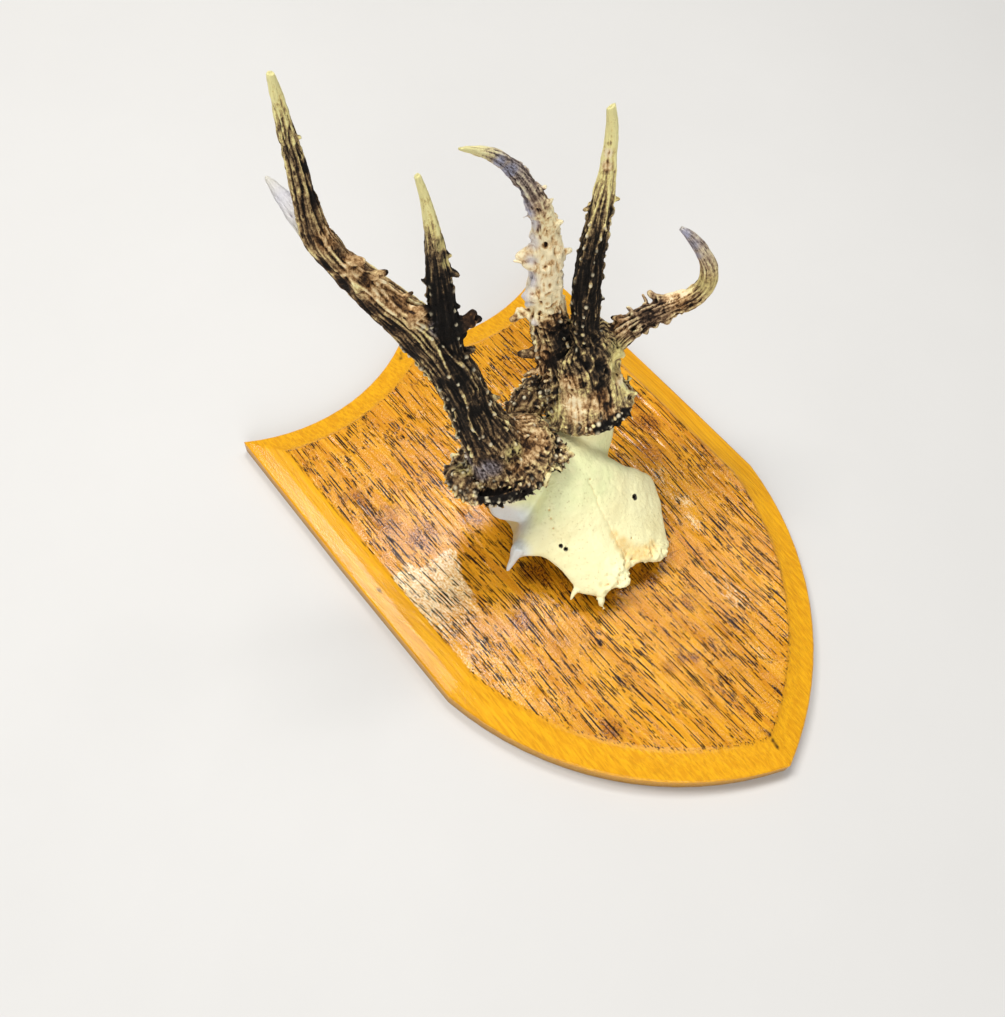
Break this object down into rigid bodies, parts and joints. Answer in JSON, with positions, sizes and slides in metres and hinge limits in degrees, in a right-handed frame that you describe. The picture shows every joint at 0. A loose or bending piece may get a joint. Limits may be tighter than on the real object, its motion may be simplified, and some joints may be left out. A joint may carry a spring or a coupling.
{
  "type": "roe deer antler mount",
  "caption": "Sawn-off roe buck skull cap with its pair of pearled antlers, resting upright on a varnished oak shield that lies flat",
  "frame": {"origin": "middle of the shield's length, on its flat back", "axes": "+Z out of the shield's face, +Y up the shield towards its square end, +X towards the buck's left"},
  "size_m": [0.2028, 0.2945, 0.2561],
  "materials": {
    "varnished_oak": "amber oak under a satin varnish, grain along the shield",
    "bleached_bone": "bare boiled bone, dull and slightly porous",
    "antler_brown": "dark furrowed antler with pale pearls and rubbed ivory tips"
  },
  "bodies": {
    "root": {"shield_board": "varnished_oak", "skull_cap": "bleached_bone", "right_antler_base": "antler_brown", "right_front_tine": "antler_brown", "right_upper_beam": "antler_brown", "right_rear_tine": "antler_brown", "right_top_tine": "antler_brown", "left_antler_base": "antler_brown", "left_front_tine": "antler_brown", "left_middle_tine": "antler_brown", "left_outer_tine": "antler_brown"}
  },
  "joints": []
}
